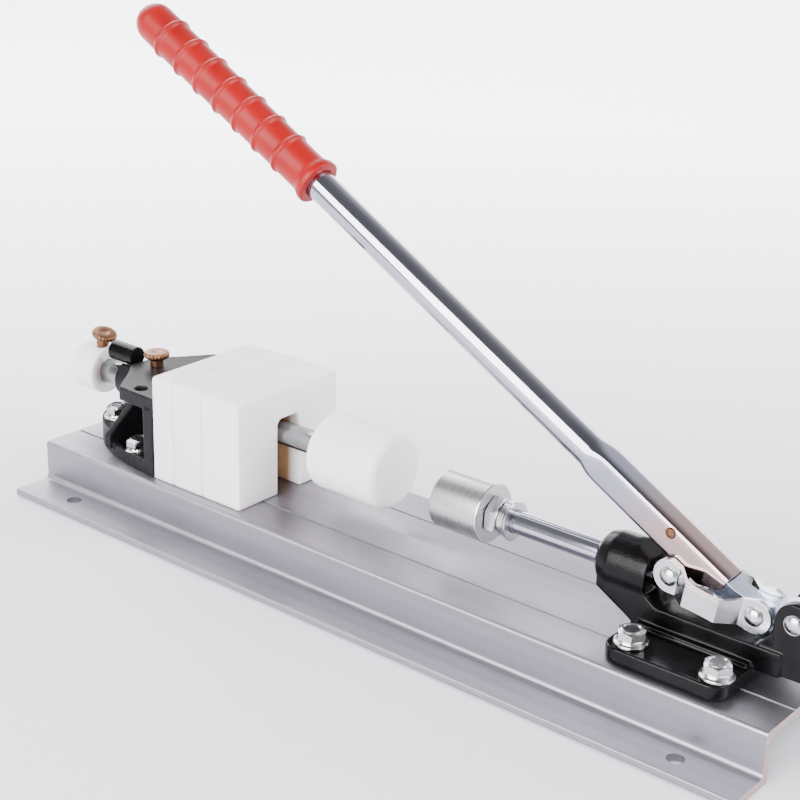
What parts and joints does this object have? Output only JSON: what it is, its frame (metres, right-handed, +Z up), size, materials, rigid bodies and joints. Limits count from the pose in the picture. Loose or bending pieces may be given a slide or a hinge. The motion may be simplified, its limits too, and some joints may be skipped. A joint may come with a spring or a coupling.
{
  "type": "hand-lever toggle press",
  "caption": "Long-handled push-pull toggle clamp on a channel rail, driving a round pressure head towards a nylon-tipped push rod held in a cast end bracket.",
  "frame": {"origin": "middle of the footprint, on the surface the rail's feet stand on", "axes": "+X along the rail from the end bracket to the toggle clamp, +Y across the rail, +Z up"},
  "size_m": [0.5146, 0.146, 0.2978],
  "materials": {
    "rail_aluminium": "satin extruded, fine lines along the rail",
    "head_aluminium": "turned, bright",
    "cast_satin_black": "satin dark grey paint on a casting",
    "cast_gloss_black": "glossy black enamel on a casting",
    "zinc_plate": "bright zinc plate",
    "dark_steel": "blackened",
    "ground_steel": "ground bright",
    "lever_steel": "bright zinc, blue passivated",
    "chrome_tube": "mirror chrome",
    "nylon": "milled natural nylon, slightly translucent",
    "brass": "satin",
    "red_vinyl": "dipped vinyl, semi-gloss"
  },
  "bodies": {
    "press_frame": {"rail": "rail_aluminium", "end_bracket": "cast_satin_black", "bracket_barrel": "cast_satin_black", "clamp_body": "cast_gloss_black", "handle_pivot_pin": "zinc_plate", "bracket_bolt_1": "zinc_plate", "bracket_bolt_2": "zinc_plate", "bracket_bolt_3": "zinc_plate", "bracket_bolt_4": "zinc_plate", "clamp_bolt_1": "zinc_plate", "clamp_bolt_2": "zinc_plate", "clamp_bolt_3": "zinc_plate", "clamp_bolt_4": "zinc_plate", "bracket_nut_1": "zinc_plate", "bracket_nut_2": "zinc_plate", "bracket_nut_3": "zinc_plate", "bracket_nut_4": "zinc_plate", "clamp_nut_1": "zinc_plate", "clamp_nut_2": "zinc_plate", "clamp_nut_3": "zinc_plate", "clamp_nut_4": "zinc_plate"},
    "handle": {"lever": "lever_steel", "handle_tube": "chrome_tube", "handle_rivet": "brass", "handle_grip": "red_vinyl"},
    "links": {"link_near": "zinc_plate", "link_far": "zinc_plate", "drive_pin": "zinc_plate", "link_pin": "zinc_plate"},
    "plunger_unit": {"plunger": "ground_steel", "pressure_head": "head_aluminium", "head_jam_nut": "zinc_plate", "plunger_collar": "zinc_plate", "plunger_washer": "zinc_plate"},
    "push_rod_unit": {"push_rod": "ground_steel", "rod_stop_pin": "dark_steel", "push_head": "nylon", "push_cap": "nylon"},
    "cap_screw": {"cap_thumb_screw": "brass"},
    "bracket_screw": {"bracket_thumb_screw": "brass"},
    "block_1": {"spacer_block_1": "nylon"},
    "block_2": {"spacer_block_2": "nylon"},
    "block_3": {"spacer_block_3": "nylon"}
  },
  "joints": [
    {"name": "handle_hinge", "type": "hinge", "parent": "press_frame", "child": "handle", "pos_m": [0.24725, 0, 0.065], "axis": [0, 1, 0], "range_deg": [0, 100]},
    {"name": "link_hinge", "type": "hinge", "parent": "handle", "child": "links", "pos_m": [0.22525, 0, 0.06], "axis": [0, 1, 0], "range_deg": [-136, 0]},
    {"name": "plunger_slide", "type": "slide", "parent": "press_frame", "child": "plunger_unit", "axis": [1, 0, 0], "range_m": [0, 0.0258]},
    {"name": "push_rod_slide", "type": "slide", "parent": "press_frame", "child": "push_rod_unit", "axis": [1, 0, 0], "range_m": [-0.03, 0.001]},
    {"name": "cap_screw_turn", "type": "hinge", "parent": "push_rod_unit", "child": "cap_screw", "pos_m": [-0.24275, 0, 0.08], "axis": [0.309, 0, 0.9511], "range_deg": [0, 360]},
    {"name": "bracket_screw_turn", "type": "hinge", "parent": "press_frame", "child": "bracket_screw", "pos_m": [-0.19275, 0, 0.078], "axis": [0, 0, 1], "range_deg": [0, 360]},
    {"name": "block_1_lift", "type": "slide", "parent": "press_frame", "child": "block_1", "axis": [0, 0, 1], "range_m": [0, 0.065]},
    {"name": "block_2_lift", "type": "slide", "parent": "press_frame", "child": "block_2", "axis": [0, 0, 1], "range_m": [0, 0.065]},
    {"name": "block_3_lift", "type": "slide", "parent": "press_frame", "child": "block_3", "axis": [0, 0, 1], "range_m": [0, 0.065]}
  ],
  "couplings": [
    {"joint": "link_hinge", "follows": "handle_hinge", "ratio": -1.3547},
    {"joint": "plunger_slide", "follows": "handle_hinge", "m_per_rad": 0.014673}
  ]
}
